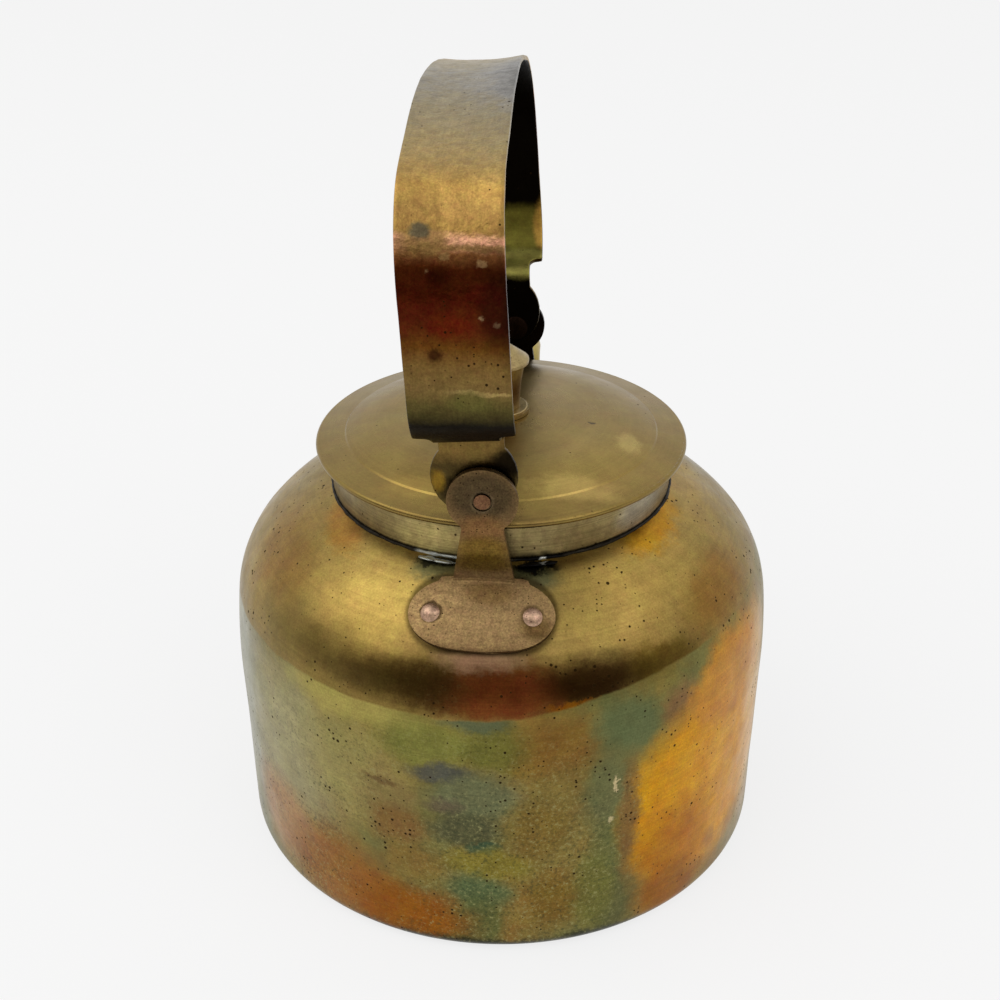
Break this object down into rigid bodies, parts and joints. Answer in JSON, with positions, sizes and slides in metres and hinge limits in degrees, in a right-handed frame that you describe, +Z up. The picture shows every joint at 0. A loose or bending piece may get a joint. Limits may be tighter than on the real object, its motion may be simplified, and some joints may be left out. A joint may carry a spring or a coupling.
{
  "type": "tea kettle",
  "caption": "Round sheet-brass tea kettle with a swan-neck spout, a folding flat-strap bail handle on riveted ears and a lift-off lid with a pointed knob.",
  "frame": {"origin": "middle of the flat foot ring that the kettle stands on", "axes": "+Z up along the axis of the body, +Y towards the spout, the handle's pins lie along Y"},
  "size_m": [0.18, 0.219, 0.2561],
  "materials": {
    "patinated_brass": "hand raised, brushed, with heat patina",
    "worn_brass": "scratched, pitted",
    "ear_brass": "worn, pinkish",
    "strap_brass": "hammered, worn",
    "lid_brass": "turned, satin",
    "knob_brass": "turned, pitted",
    "copper": "copper, worn"
  },
  "bodies": {
    "kettle": {"body_shell": "patinated_brass", "base_plate": "patinated_brass", "collar": "worn_brass", "spout": "patinated_brass", "ear_front": "ear_brass", "ear_back": "ear_brass", "ear_front_rivets": "copper", "ear_back_rivets": "copper"},
    "handle": {"bail_strap": "strap_brass", "pivot_pin_front": "copper", "pivot_pin_back": "copper", "pivot_washer_front": "ear_brass", "pivot_washer_back": "ear_brass"},
    "lid": {"lid_plate": "lid_brass", "lid_bezel": "lid_brass", "knob": "knob_brass", "knob_washer": "knob_brass", "knob_burr": "knob_brass"}
  },
  "joints": [
    {"name": "handle_swing", "type": "hinge", "parent": "kettle", "child": "handle", "pos_m": [0, 0, 0.1512], "axis": [0, 1, 0], "range_deg": [-105, 115]},
    {"name": "lid_lift", "type": "slide", "parent": "kettle", "child": "lid", "axis": [0, 0, 1], "range_m": [0, 0.075]}
  ]
}
